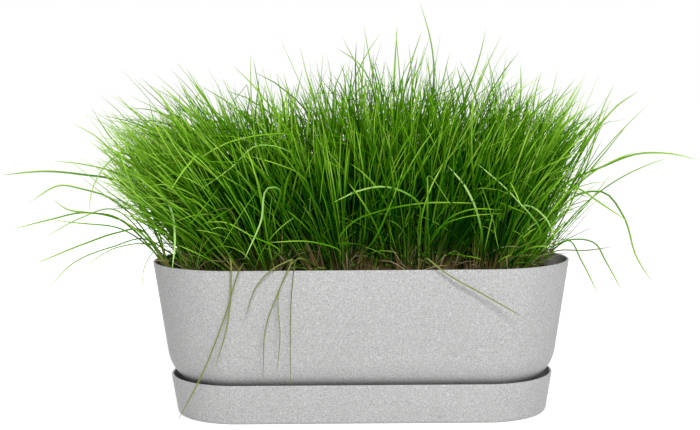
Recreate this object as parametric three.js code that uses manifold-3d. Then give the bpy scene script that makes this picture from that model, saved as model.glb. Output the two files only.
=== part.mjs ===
// An oblong planter trough that stands in its own saucer and is planted with two rows of grass.
// Millimetres, +Z up, +X along the trough, -Y towards the viewer.
// The origin is the centre of the saucer's underside.

import * as THREE from "three";
import { mergeVertices } from "three/addons/utils/BufferGeometryUtils.js";
import Module from "manifold-3d";

const wasm = await Module();
wasm.setup();
const radians = THREE.MathUtils.degToRad;

// Clearances
const seatGap = 0.3; // between a piece and what carries it
const soilGap = 0.3; // between the soil and the pot's walls, and between a root ball and its pocket

// Pot: a stadium in plan, with drafted walls, a round belly and a recessed plinth to stand on
const rimLength = 600;
const rimWidth = 252;
const potHeight = 214.5;
const potWall = 3.2;
const potFloor = 3.2;
const potDraft = 8.3; // degrees
const bellyRadius = 60;
const bellyCentreHeight = 92.5; // above the pot's own base
const plinthInset = 54; // from the rim's outline to the top of the plinth
const plinthDraft = 4; // degrees
const plinthEdge = 2.5; // chamfer round the plinth's foot
const potLip = 1.1; // rounding of the rim
const drainDiameter = 11;

// Saucer: the same plan, set in from the pot's rim, with cross ribs that carry the plinth
const saucerInset = 23;
const saucerHeight = 57;
const saucerWall = 3.2;
const saucerFloor = 3.2;
const saucerDraft = 8.8; // degrees
const saucerEdgeRadius = 5;
const saucerLip = 1.1; // rounding of the saucer's rim
const ribCount = 8;
const ribHeight = 3;
const ribWidth = 5;
const ribEndMargin = 104; // from the end of the rim's outline to the middle of the last rib
const ribSideMargin = 5; // how far a rib stops short of the plinth's side

// Soil
const soilBelowRim = 18;
const soilEdgeDrop = 3; // how far the soil sinks along the walls
const soilEdgeWidth = 14;

// Plants: a root ball in a pocket of soil and a low crown
const plantColumns = 5;
const plantEndMargin = 92; // from the end of the rim's outline to the middle of the last pair
const plantStagger = 26; // how far the front row stands to the left of a pair's middle, the back row right
const plantSideMargin = 80; // from the side of the rim's outline to the middle of a row
const rootBallRadius = 26;
const rootBallFootRadius = 19;
const rootBallDepth = 46;
const crownRadius = 34;
const crownSkirt = 2;
const crownHeight = 9;

// Blades
const bladesPerPlant = 30;
const bladeFootWidth = 4;
const bladeWidth = 6.5;
const strayWidth = 5;
const bladeKeel = 1.8; // depth of a blade's three-sided section
const rootMargin = 5; // from the crown's edge to the outermost roots
const tuftGap = 8; // between the blades of neighbouring plants once the tufts have opened
const openHeight = 75; // above the soil, where the tufts have opened fully

// The canopy: its full height at the middle, and how far it leans out there and drops to the ends.
// A lean or a drop is a share: of the root's distance from the middle, or of the full height.
const canopyHeight = 310;
const leanLeft = 0.9;
const leanRight = 0.5;
const leanDeep = 1.2;
const dropLeft = 0.42;
const dropRight = 0.25;
const sway = 16;
const sideSwayWaveX = 61; // the sway to the side turns by a radian over this much of x, and of y
const sideSwayWaveY = 97;
const deepSwayWaveX = 83; // the sway front to back likewise
const deepSwayWaveY = 59;

// Plan and levels that follow from the sizes above
const halfLength = rimLength / 2;
const halfWidth = rimWidth / 2;
const potBase = saucerFloor + ribHeight + seatGap;
const potInside = potBase + potFloor;
const rimLevel = potBase + potHeight;
const soilLevel = rimLevel - soilBelowRim;
const crownBase = soilLevel + seatGap;
const rootReach = crownRadius - rootMargin;

// Facets
const endSteps = 12; // half the facets round an end of the pot and the saucer
const soilEndSteps = 6;
const bellySteps = 7; // the pot's outside
const insideBellySteps = 4; // the pot's inside and the soil that fills it
const rootBallSides = 12;
const drainSides = 16;
const tuftSteps = 3;
const straySteps = 5;

// The stadium outline that lies `inset` inside the pot's rim, as points at height z
function stadium(inset, z, steps) {
  const radius = halfWidth - inset;
  const centre = halfLength - halfWidth;
  const points = [];
  for (const end of [-1, 1]) {
    for (let i = 0; i <= 2 * steps; i++) {
      const angle = (Math.PI * i) / (2 * steps) + (end * Math.PI) / 2;
      points.push([-end * centre + radius * Math.cos(angle), radius * Math.sin(angle), z]);
    }
  }
  return points;
}

// A closed body with a stadium plan. Its section is `profile`, a list of [inset, z] that runs from
// the underside round the outside to the top. Neighbouring rings are skinned and both ends capped.
function stadiumLoft(profile, steps = endSteps) {
  const rings = profile.map(([inset, z]) => stadium(inset, z, steps));
  const count = rings[0].length;
  const faces = [];
  for (let ring = 0; ring + 1 < rings.length; ring++) {
    for (let i = 0; i < count; i++) {
      const a = ring * count + i;
      const b = ring * count + ((i + 1) % count);
      faces.push(a, b, b + count, a, b + count, a + count);
    }
  }
  const top = (rings.length - 1) * count;
  for (let i = 1; i + 1 < count; i++) {
    faces.push(0, i + 1, i);
    faces.push(top, top + i, top + i + 1);
  }
  return indexed(rings.flat(2), faces);
}

function indexed(positions, faces) {
  const geometry = new THREE.BufferGeometry();
  geometry.setAttribute("position", new THREE.Float32BufferAttribute(positions, 3));
  geometry.setIndex(faces);
  return geometry;
}

function solidOf(geometry) {
  const bare = geometry.clone();
  bare.deleteAttribute("normal");
  bare.deleteAttribute("uv");
  const merged = mergeVertices(bare, 1e-4);
  const mesh = new wasm.Mesh({
    numProp: 3,
    vertProperties: new Float32Array(merged.attributes.position.array),
    triVerts: new Uint32Array(merged.index.array),
  });
  return new wasm.Manifold(mesh);
}

function geometryOf(solid) {
  const { vertProperties, triVerts } = solid.getMesh();
  const geometry = indexed([...vertProperties], [...triVerts]);
  geometry.computeVertexNormals();
  return geometry;
}

// A turned or cylindrical body stood up from three.js's +Y axis to +Z, and moved to a place
function upright(geometry, x, y, z) {
  return solidOf(geometry.rotateX(Math.PI / 2).translate(x, y, z));
}

// The inset, at a level, of a drafted wall's skin `depth` inside the outline of its rim
function wallInset(rimInset, topLevel, draft, depth, level) {
  const slope = Math.tan(radians(draft));
  return rimInset + slope * (topLevel - level) + depth / Math.cos(radians(draft));
}

const potSkin = (depth, level) => wallInset(0, rimLevel - potLip, potDraft, depth, level);
const saucerSkin = (depth, level) =>
  wallInset(saucerInset, saucerHeight - saucerLip, saucerDraft, depth, level);

// The rounded edge of a rim, from the outer skin over to the inner one
function lip(skin, wall, level, round) {
  return [
    [skin(0, level - round), level - round],
    [skin(0, level - round) + round, level],
    [skin(wall, level - round) - round, level],
    [skin(wall, level - round), level - round],
  ];
}

// The pot's section `depth` inside its outer skin: a chamfered foot at `floor`, the plinth, and
// the belly's arc up to where it is tangent to the drafted wall
function potSection(depth, floor, steps) {
  const centreLevel = potBase + bellyCentreHeight;
  const centreInset = potSkin(bellyRadius, centreLevel);
  const radius = bellyRadius - depth;
  const start = Math.acos((centreInset - plinthInset - depth) / radius);
  const arc = [];
  for (let i = 0; i <= steps; i++) {
    const angle = THREE.MathUtils.lerp(start, radians(potDraft), i / steps);
    arc.push([centreInset - radius * Math.cos(angle), centreLevel - radius * Math.sin(angle)]);
  }
  const foot = plinthInset + depth + Math.tan(radians(plinthDraft)) * (arc[0][1] - floor);
  return [[foot + plinthEdge, floor], [foot, floor + plinthEdge], ...arc];
}

// Places of the cross ribs along the saucer. A drain opens over every second gap between them.
function ribPlaces() {
  const pitch = (rimLength - 2 * ribEndMargin) / (ribCount - 1);
  return Array.from({ length: ribCount }, (_, i) => (i - (ribCount - 1) / 2) * pitch);
}

function potGeometry() {
  const shell = stadiumLoft([
    ...potSection(0, potBase, bellySteps),
    ...lip(potSkin, potWall, rimLevel, potLip),
    ...potSection(potWall, potInside, insideBellySteps).reverse(),
  ]);
  const ribs = ribPlaces();
  const bore = drainDiameter / 2;
  let pot = solidOf(shell);
  for (let i = 0; i + 1 < ribs.length; i += 2) {
    const drill = new THREE.CylinderGeometry(bore, bore, 2 * potFloor, drainSides);
    pot = pot.subtract(upright(drill, (ribs[i] + ribs[i + 1]) / 2, 0, potBase + potFloor / 2));
  }
  return geometryOf(pot);
}

// The rounded foot of the saucer's section, tangent to the floor and to the drafted wall
function saucerFoot(depth, floor) {
  const centreLevel = floor + saucerEdgeRadius;
  const centreInset = saucerSkin(depth + saucerEdgeRadius, centreLevel);
  const steps = 3;
  const arc = [];
  for (let i = 0; i <= steps; i++) {
    const angle = THREE.MathUtils.lerp(Math.PI / 2, radians(saucerDraft), i / steps);
    arc.push([
      centreInset - saucerEdgeRadius * Math.cos(angle),
      centreLevel - saucerEdgeRadius * Math.sin(angle),
    ]);
  }
  return arc;
}

function saucerGeometry() {
  const shell = stadiumLoft([
    ...saucerFoot(0, 0),
    ...lip(saucerSkin, saucerWall, saucerHeight, saucerLip),
    ...saucerFoot(saucerWall, saucerFloor).reverse(),
  ]);
  const plinthFoot = potSection(0, potBase, 1)[0][0];
  const ribLength = 2 * (halfWidth - plinthFoot - ribSideMargin);
  const root = saucerFloor / 2; // a rib's root runs into the floor by this much
  let saucer = solidOf(shell);
  for (const x of ribPlaces()) {
    const rib = new THREE.BoxGeometry(ribWidth, ribLength, ribHeight + root);
    rib.translate(x, 0, saucerFloor + (ribHeight - root) / 2);
    saucer = saucer.add(solidOf(rib));
  }
  return geometryOf(saucer);
}

// The plants stand in two rows and are numbered from the left, the front one of each pair first
function plantPlaces() {
  const pitch = (rimLength - 2 * plantEndMargin) / (plantColumns - 1);
  const places = [];
  for (let column = 0; column < plantColumns; column++) {
    for (const row of [-1, 1]) {
      const x = (column - (plantColumns - 1) / 2) * pitch + row * plantStagger;
      places.push({ index: places.length, x, y: row * (halfWidth - plantSideMargin), pitch });
    }
  }
  return places;
}

// A body turned about a plant's own axis: the root ball, `grow` larger all round, under `top`
function rootBall(plant, grow, top) {
  const foot = soilLevel - rootBallDepth - grow;
  const profile = [[0, foot], [rootBallFootRadius + grow, foot], ...top];
  const points = profile.map(([radius, level]) => new THREE.Vector2(radius, level));
  return upright(new THREE.LatheGeometry(points, rootBallSides), plant.x, plant.y, 0);
}

function crownLevel(radius) {
  return crownBase + crownSkirt + (crownHeight - crownSkirt) * (1 - (radius / crownRadius) ** 2);
}

function crownSolid(plant) {
  const shoulder = 0.7 * crownRadius;
  return rootBall(plant, 0, [
    [rootBallRadius, crownBase],
    [crownRadius, crownBase],
    [crownRadius, crownLevel(crownRadius)],
    [shoulder, crownLevel(shoulder)],
    [0, crownLevel(0)],
  ]);
}

function soilGeometry(plants) {
  const depth = potWall + soilGap;
  const edgeLevel = soilLevel - soilEdgeDrop;
  const edgeInset = potSkin(depth, edgeLevel);
  const section = [
    ...potSection(depth, potInside + soilGap, insideBellySteps),
    [edgeInset, edgeLevel],
    [edgeInset + soilEdgeWidth, soilLevel],
  ];
  let soil = solidOf(stadiumLoft(section, soilEndSteps));
  for (const plant of plants) {
    const mouth = rootBallRadius + soilGap;
    const clear = soilLevel + crownHeight;
    soil = soil.subtract(rootBall(plant, soilGap, [[mouth, soilLevel], [mouth, clear], [0, clear]]));
  }
  return geometryOf(soil);
}

// A blade is a three-sided strand along `path`. It widens above its foot, then tapers to a point.
function bladeSolid(path, width) {
  const last = path.length - 1;
  const run = path[last].clone().sub(path[0]);
  const across = new THREE.Vector3(-run.y, run.x, 0).normalize();
  const corners = [];
  const faces = [2, 1, 0];
  for (let i = 0; i < last; i++) {
    const share = i / last;
    const along = path[i + 1].clone().sub(path[Math.max(i - 1, 0)]).normalize();
    const keel = along.cross(across).multiplyScalar(bladeKeel * (1 - share ** 2));
    const reach = (i === 0 ? bladeFootWidth : width * (1 - share ** 3)) / 2;
    corners.push(path[i].clone().addScaledVector(across, -reach));
    corners.push(path[i].clone().addScaledVector(across, reach));
    corners.push(path[i].clone().add(keel));
    for (let side = 0; side < 3; side++) {
      const a = i * 3 + side;
      const b = i * 3 + ((side + 1) % 3);
      if (i + 1 < last) faces.push(a, b, a + 3, b, b + 3, a + 3);
      else faces.push(a, b, last * 3);
    }
  }
  corners.push(path[last]);
  return solidOf(indexed(corners.flatMap((corner) => corner.toArray()), faces));
}

// A blade starts inside the crown, at half of the crown's height over its root
function bladeStart(rootRadius) {
  return (crownBase + crownLevel(rootRadius)) / 2;
}

// Where a blade rooted at (rootX, rootY) is once it has climbed to `rise`, a share of the canopy.
// First the tufts open until they almost meet, then the whole canopy leans out. The same map serves
// every plant and never folds, so the blades of neighbouring plants don't cross.
function canopyPoint(plant, rootX, rootY, rise) {
  const open = Math.min(1, (rise * canopyHeight) / openHeight);
  const openX = 1 + open * ((plant.pitch - tuftGap) / (2 * rootReach) - 1);
  const openY = 1 + open * ((2 * Math.abs(plant.y) - tuftGap) / (2 * rootReach) - 1);
  const x = plant.x + rootX * openX;
  const y = plant.y + rootY * openY;
  const lean = x < 0 ? leanLeft : leanRight;
  return new THREE.Vector3(
    x * (1 + lean * rise) + sway * rise * Math.sin(x / sideSwayWaveX + y / sideSwayWaveY),
    y * (1 + leanDeep * rise ** 1.5) + sway * rise * Math.cos(x / deepSwayWaveX - y / deepSwayWaveY),
    bladeStart(Math.hypot(rootX, rootY)) + canopyHeight * rise,
  );
}

// Roots lie over the crown as seeds lie in a sunflower, and each blade has a height of its own
function tuftBlades(plant) {
  const goldenAngle = Math.PI * (3 - Math.sqrt(5));
  const blades = [];
  for (let k = 0; k < bladesPerPlant; k++) {
    const radius = rootReach * Math.sqrt((k + 0.5) / bladesPerPlant);
    const turn = k * goldenAngle + plant.index;
    const rootX = radius * Math.cos(turn);
    const rootY = radius * Math.sin(turn);
    const outward = Math.abs(plant.x + rootX) / halfLength;
    const drop = (plant.x + rootX < 0 ? dropLeft : dropRight) * outward ** 2;
    const height = (1 - drop) * (0.8 + 0.2 * Math.abs(Math.sin(k * 2.4 + plant.index * 1.7)));
    const path = [];
    for (let i = 0; i <= tuftSteps; i++) {
      path.push(canopyPoint(plant, rootX, rootY, (height * i) / tuftSteps));
    }
    blades.push(bladeSolid(path, bladeWidth));
  }
  return blades;
}

// Long blades that leave the canopy. A blade starts `lift` degrees above level, and its slope turns
// evenly to `fall`. A heading runs from +X towards +Y. A root is a place on the plant's crown, as
// shares of the roots' reach, and a length is a share of the canopy's full height.
const strays = [
  { plant: 0, root: [-0.83, -0.28], heading: 184, lift: 62, fall: -12, length: 1.04 },
  { plant: 1, root: [-0.83, 0.28], heading: 176, lift: 62, fall: -10, length: 1.1 },
  { plant: 4, root: [0.83, 0.21], heading: 2, lift: 82, fall: 72, length: 1.28 },
  { plant: 5, root: [-0.48, 0.07], heading: 180, lift: 88, fall: 84, length: 1.14 },
  { plant: 7, root: [0.34, 0.14], heading: 4, lift: 84, fall: 80, length: 1.13 },
  { plant: 8, root: [0.76, -0.28], heading: -3, lift: 75, fall: -8, length: 1.14 },
  { plant: 9, root: [0.69, 0.34], heading: 5, lift: 62, fall: 42, length: 0.97 },
];

function strayBlade(plant, { root, heading, lift, fall, length }) {
  const finer = 8; // the arc is followed in steps this much finer than the blade's own
  const step = (length * canopyHeight) / (straySteps * finer);
  const [rootX, rootY] = root.map((share) => share * rootReach);
  const point = new THREE.Vector3(plant.x + rootX, plant.y + rootY, bladeStart(Math.hypot(rootX, rootY)));
  const path = [point.clone()];
  for (let i = 1; i <= straySteps * finer; i++) {
    const slope = radians(THREE.MathUtils.lerp(lift, fall, (i - 0.5) / (straySteps * finer)));
    point.x += step * Math.cos(slope) * Math.cos(radians(heading));
    point.y += step * Math.cos(slope) * Math.sin(radians(heading));
    point.z += step * Math.sin(slope);
    if (i % finer === 0) path.push(point.clone());
  }
  return bladeSolid(path, strayWidth);
}

function plantGeometry(plant) {
  const ownStrays = strays.filter((stray) => stray.plant === plant.index);
  const blades = [...tuftBlades(plant), ...ownStrays.map((stray) => strayBlade(plant, stray))];
  return geometryOf(blades.reduce((joined, blade) => joined.add(blade), crownSolid(plant)));
}

const lightPlastic = new THREE.MeshStandardMaterial({ color: 0xc8c8c6, roughness: 0.75, metalness: 0 });
const darkSoil = new THREE.MeshStandardMaterial({ color: 0x3a291d, roughness: 1, metalness: 0 });
const greenBlades = new THREE.MeshStandardMaterial({ color: 0x4c8a1e, roughness: 0.6, metalness: 0 });

const planter = new THREE.Group();

function addPiece(name, geometry, material) {
  const mesh = new THREE.Mesh(geometry, material);
  mesh.name = name;
  planter.add(mesh);
}

const plants = plantPlaces();
addPiece("saucer", saucerGeometry(), lightPlastic);
addPiece("pot", potGeometry(), lightPlastic);
addPiece("soil", soilGeometry(plants), darkSoil);
for (const plant of plants) {
  const number = String(plant.index + 1).padStart(2, "0");
  addPiece(`grass_plant_${number}`, plantGeometry(plant), greenBlades);
}

export default planter;
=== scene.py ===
"""A round-ended planter trough that stands in its own saucer, planted with long loose grass.

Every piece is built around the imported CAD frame. Metres, +Z up, +X along the trough, -Y towards
the viewer. The origin is the centre of the saucer's underside.
"""

import math

import bpy
import numpy as np
from mathutils import Euler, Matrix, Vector, noise


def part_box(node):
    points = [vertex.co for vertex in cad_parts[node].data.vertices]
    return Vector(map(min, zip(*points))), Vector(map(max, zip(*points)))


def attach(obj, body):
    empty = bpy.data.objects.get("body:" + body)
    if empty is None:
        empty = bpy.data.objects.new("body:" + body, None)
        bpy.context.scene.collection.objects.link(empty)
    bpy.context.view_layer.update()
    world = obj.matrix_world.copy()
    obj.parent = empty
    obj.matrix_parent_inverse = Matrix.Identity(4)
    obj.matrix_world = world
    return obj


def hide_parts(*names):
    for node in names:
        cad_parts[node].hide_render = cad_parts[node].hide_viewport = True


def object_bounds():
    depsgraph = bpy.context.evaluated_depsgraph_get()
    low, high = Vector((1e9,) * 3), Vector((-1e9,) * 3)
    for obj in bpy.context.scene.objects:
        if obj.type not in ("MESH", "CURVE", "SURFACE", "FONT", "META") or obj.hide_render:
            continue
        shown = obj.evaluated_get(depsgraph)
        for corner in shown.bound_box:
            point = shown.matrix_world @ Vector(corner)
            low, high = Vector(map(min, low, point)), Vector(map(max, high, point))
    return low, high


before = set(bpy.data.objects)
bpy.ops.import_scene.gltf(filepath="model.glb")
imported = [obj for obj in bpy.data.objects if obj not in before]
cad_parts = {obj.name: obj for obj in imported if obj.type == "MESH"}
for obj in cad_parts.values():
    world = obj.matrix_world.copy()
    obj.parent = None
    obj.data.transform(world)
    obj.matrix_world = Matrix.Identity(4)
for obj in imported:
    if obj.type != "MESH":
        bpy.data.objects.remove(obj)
cad_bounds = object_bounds()

# Places that the frame sets
pot_low, pot_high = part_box("pot")
saucer_low, saucer_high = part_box("saucer")
soil_low, soil_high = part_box("soil")
plant_nodes = sorted(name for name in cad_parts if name.startswith("grass_plant_"))
half_length = pot_high.x
half_width = pot_high.y
end_centre = half_length - half_width  # from the middle to the centre of a round end
rim_level = pot_high.z
saucer_inset = half_width - saucer_high.y
soil_level = soil_high.z

# Pot
pot_wall = 0.0032
pot_floor = 0.0032
pot_draft = math.radians(8.3)
belly_radius = 0.060
belly_centre_height = 0.0925  # above the pot's own base
plinth_inset = 0.054
plinth_draft = math.radians(4)
plinth_edge = 0.0025
lip_radius = 0.0011
drain_radius = 0.0055

# Saucer
saucer_wall = 0.0032
saucer_floor = 0.0032
saucer_draft = math.radians(8.8)
saucer_edge_radius = 0.005
rib_count = 8
rib_height = 0.003
rib_width = 0.005
rib_end_margin = 0.104  # from the end of the rim's outline to the middle of the last rib
rib_side_margin = 0.005

# Soil and root balls
soil_gap = 0.0003
soil_edge_drop = 0.003
soil_edge_width = 0.014
root_ball_radius = 0.026
root_ball_foot_radius = 0.019
root_ball_depth = 0.046
crown_radius = 0.034
crown_height = 0.009

# The photograph's camera, from the middle of the planter
camera_distance = 1.8173
camera_height = 0.46306

# Grass
blades_per_plant = 600
thin_blades_per_plant = 150
tillers_per_plant = 90
tiller_reach = 0.050  # from the plant's axis to its outermost tillers
left_painted_light = 0.40  # painted light: how much brighter the blades rooted at the left end are painted, for the light that reaches them there
# Painted light likewise for the blades rooted at the right end
right_painted_light = 0.25
left_roots_end = -0.234  # no blades are rooted beyond these places along the trough
right_roots_end = 0.264
blade_segments = 9
edge_painted_light = 0.45  # painted light: how much brighter the blades at the mass's outline are painted, for the light that falls on them there
end_thinning = 0.032  # how much further the mass draws in towards both ends
stray_segments = 26
stray_reach = 0.034  # from the plant's axis to the roots of its placed blades
longest_blade = 0.36
longest_to_height = 1.9  # the most that a blade's length may be as a share of the height that it climbs
root_depth = 0.003  # blades start this far under the soil
blade_width = 0.0020
blade_keel = 0.45  # a blade's thickness as a share of its width
blade_taper = 12  # a blade keeps its width until near its tip, as its share along to this power
tip_share = 0.7  # how far along its last segment a blade's last ring lies


def stadium(inset, level, end_steps, side_steps=1):
    """The round-ended outline that lies `inset` inside the pot's rim, anticlockwise from above."""
    radius = half_width - inset
    turn = np.linspace(-math.pi / 2, math.pi / 2, end_steps + 1)
    along = np.linspace(end_centre, -end_centre, side_steps + 1)[1:-1]
    end = np.column_stack([end_centre + radius * np.cos(turn), radius * np.sin(turn)])
    side = np.column_stack([along, np.full(len(along), radius)])
    half = np.vstack([end, side])
    plan = np.vstack([half, -half])
    return np.column_stack([plan, np.full(len(plan), level)])


def skin_faces(ring_count, count):
    """Quads between neighbouring rings of `count` points each, with a cap on the first and last."""
    faces = [tuple(reversed(range(count)))]
    for ring in range(ring_count - 1):
        low = ring * count
        for i in range(count):
            j = (i + 1) % count
            faces.append((low + i, low + j, low + j + count, low + i + count))
    top = (ring_count - 1) * count
    faces.append(tuple(range(top, top + count)))
    return faces


def new_object(name, points, faces):
    mesh = bpy.data.meshes.new(name)
    mesh.from_pydata(np.asarray(points).tolist(), [], faces)
    mesh.update()
    obj = bpy.data.objects.new(name, mesh)
    bpy.context.scene.collection.objects.link(obj)
    return obj


def lofted(name, profile, end_steps=96, side_steps=1):
    """A closed body with the trough's plan. Its section runs from the underside round the outside."""
    rings = [stadium(inset, level, end_steps, side_steps) for inset, level in profile]
    return new_object(name, np.vstack(rings), skin_faces(len(rings), len(rings[0])))


def join_meshes(parts):
    """One list of points and one of faces from several (points, faces) pairs."""
    points = []
    faces = []
    start = 0
    for part_points, part_faces in parts:
        points.append(part_points)
        faces += [tuple(start + i for i in face) for face in part_faces]
        start += len(part_points)
    return np.vstack(points), faces


def combine(obj, operation, points, faces):
    """Adds closed bodies to obj or cuts them out of it, and leaves a plain mesh."""
    tool = new_object("tool", points, faces)
    modifier = obj.modifiers.new("combine", "BOOLEAN")
    modifier.operation = operation
    modifier.solver = "EXACT"
    modifier.object = tool
    bpy.context.view_layer.update()
    evaluated = obj.evaluated_get(bpy.context.evaluated_depsgraph_get())
    mesh = bpy.data.meshes.new_from_object(evaluated)
    mesh.name = obj.name
    obj.modifiers.clear()
    obj.data = mesh
    bpy.data.objects.remove(tool)


def smooth(obj, sharp_angle):
    obj.data.shade_smooth()
    obj.data.set_sharp_from_angle(angle=math.radians(sharp_angle))


def finish_piece(obj, material, slot, body, *nodes):
    obj.data.materials.clear()
    obj.data.materials.append(material)
    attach(obj, body)
    if nodes:
        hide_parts(*nodes)


# Materials


def add_node(tree, kind, inputs=None, **settings):
    """A node whose inputs are numbers, colours or the outputs that feed them."""
    node = tree.nodes.new(kind)
    for name, value in settings.items():
        setattr(node, name, value)
    for name, value in (inputs or {}).items():
        if isinstance(value, bpy.types.NodeSocket):
            tree.links.new(value, node.inputs[name])
        else:
            node.inputs[name].default_value = value
    return node


def new_material(name, roughness, specular=0.5):
    material = bpy.data.materials.new(name)
    material.use_nodes = True
    shader = material.node_tree.nodes["Principled BSDF"]
    shader.inputs["Roughness"].default_value = roughness
    shader.inputs["Specular IOR Level"].default_value = specular
    return material, material.node_tree, shader


def noise_share(tree, place, scale, low, high, detail=2.0, shift=0.0):
    """Noise as a share from 0, where it is below `low`, to 1, where it is above `high`."""
    moved = add_node(tree, "ShaderNodeVectorMath", {0: place, 1: (shift, shift, shift)})
    grain = add_node(
        tree, "ShaderNodeTexNoise", {"Vector": moved.outputs[0], "Scale": scale, "Detail": detail}
    )
    share = add_node(
        tree,
        "ShaderNodeMapRange",
        {"Value": grain.outputs["Fac"], "From Min": low, "From Max": high},
    )
    return share.outputs["Result"]


def mixed(tree, share, first, second):
    """A colour between the first and the second, each a colour or an output."""
    mix = add_node(tree, "ShaderNodeMix", data_type="RGBA")
    for socket, value in ((0, share), (6, first), (7, second)):
        if isinstance(value, bpy.types.NodeSocket):
            tree.links.new(value, mix.inputs[socket])
        else:
            mix.inputs[socket].default_value = value if socket == 0 else (*value, 1.0)
    return mix.outputs[2]


def scaled(tree, value, factor):
    return add_node(tree, "ShaderNodeMath", {0: value, 1: factor}, operation="MULTIPLY").outputs[0]


def add_bump(tree, shader, height, depth, strength=1.0):
    bump = add_node(
        tree, "ShaderNodeBump", {"Height": height, "Distance": depth, "Strength": strength}
    )
    tree.links.new(bump.outputs["Normal"], shader.inputs["Normal"])


def plastic_material():
    """Light grey plastic with a fine speckle of darker and lighter flecks, matte."""
    material, tree, shader = new_material("speckled_plastic", roughness=0.5, specular=0.4)
    place = add_node(tree, "ShaderNodeTexCoord").outputs["Object"]
    cloud = noise_share(tree, place, 9.0, 0.3, 0.7)
    colour = mixed(tree, cloud, (0.510, 0.510, 0.508), (0.540, 0.540, 0.538))
    dark = noise_share(tree, place, 640.0, 0.50, 0.70, shift=3.1)
    colour = mixed(tree, scaled(tree, dark, 0.85), colour, (0.27, 0.27, 0.27))
    light = noise_share(tree, place, 560.0, 0.52, 0.72, shift=7.7)
    colour = mixed(tree, scaled(tree, light, 0.8), colour, (0.80, 0.80, 0.80))
    tree.links.new(colour, shader.inputs["Base Color"])
    grain = noise_share(tree, place, 700.0, 0.2, 0.8, detail=3.0)
    add_bump(tree, shader, grain, 0.00012, 0.6)
    return material


def soil_material():
    """Dark brown potting soil."""
    material, tree, shader = new_material("potting_soil", roughness=0.95, specular=0.2)
    place = add_node(tree, "ShaderNodeTexCoord").outputs["Object"]
    clods = noise_share(tree, place, 55.0, 0.35, 0.68, detail=4.0)
    colour = mixed(tree, clods, (0.022, 0.011, 0.007), (0.078, 0.040, 0.023))
    fibre = noise_share(tree, place, 260.0, 0.60, 0.72, detail=3.0, shift=2.3)
    colour = mixed(tree, scaled(tree, fibre, 0.7), colour, (0.15, 0.10, 0.055))
    tree.links.new(colour, shader.inputs["Base Color"])
    crumbs = noise_share(tree, place, 320.0, 0.2, 0.8, detail=5.0)
    add_bump(tree, shader, crumbs, 0.0014)
    return material


def crumb_material():
    """Bark chips and lumps of peat, each lump with a shade of its own."""
    material, tree, shader = new_material("bark_crumbs", roughness=0.9, specular=0.25)
    place = add_node(tree, "ShaderNodeTexCoord").outputs["Object"]
    lump = add_node(tree, "ShaderNodeAttribute", attribute_name="tone").outputs["Fac"]
    colour = mixed(tree, lump, (0.026, 0.014, 0.009), (0.140, 0.078, 0.042))
    grain = noise_share(tree, place, 500.0, 0.35, 0.7, detail=3.0)
    colour = mixed(tree, scaled(tree, grain, 0.5), colour, (0.035, 0.023, 0.014))
    tree.links.new(colour, shader.inputs["Base Color"])
    add_bump(tree, shader, grain, 0.0006)
    return material


def crown_material():
    """The matted foot of a plant: straw, roots and soil."""
    material, tree, shader = new_material("grass_crown", roughness=0.9, specular=0.2)
    place = add_node(tree, "ShaderNodeTexCoord").outputs["Object"]
    clods = noise_share(tree, place, 150.0, 0.4, 0.62, detail=4.0)
    colour = mixed(tree, clods, (0.050, 0.027, 0.014), (0.160, 0.110, 0.055))
    stalks = noise_share(tree, place, 420.0, 0.52, 0.68, detail=3.0, shift=5.0)
    colour = mixed(tree, scaled(tree, stalks, 0.7), colour, (0.085, 0.105, 0.030))
    tree.links.new(colour, shader.inputs["Base Color"])
    add_bump(tree, shader, stalks, 0.0012)
    return material


def colour_ramp(tree, share, stops):
    """Colours that change along `share`; each stop is (place, colour)."""
    ramp = add_node(tree, "ShaderNodeValToRGB", {"Fac": share})
    elements = ramp.color_ramp.elements
    while len(elements) < len(stops):
        elements.new(0.5)
    for element, (place, colour) in zip(elements, stops):
        element.position = place
        element.color = (*colour, 1.0)
    return ramp.outputs["Color"]


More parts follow.
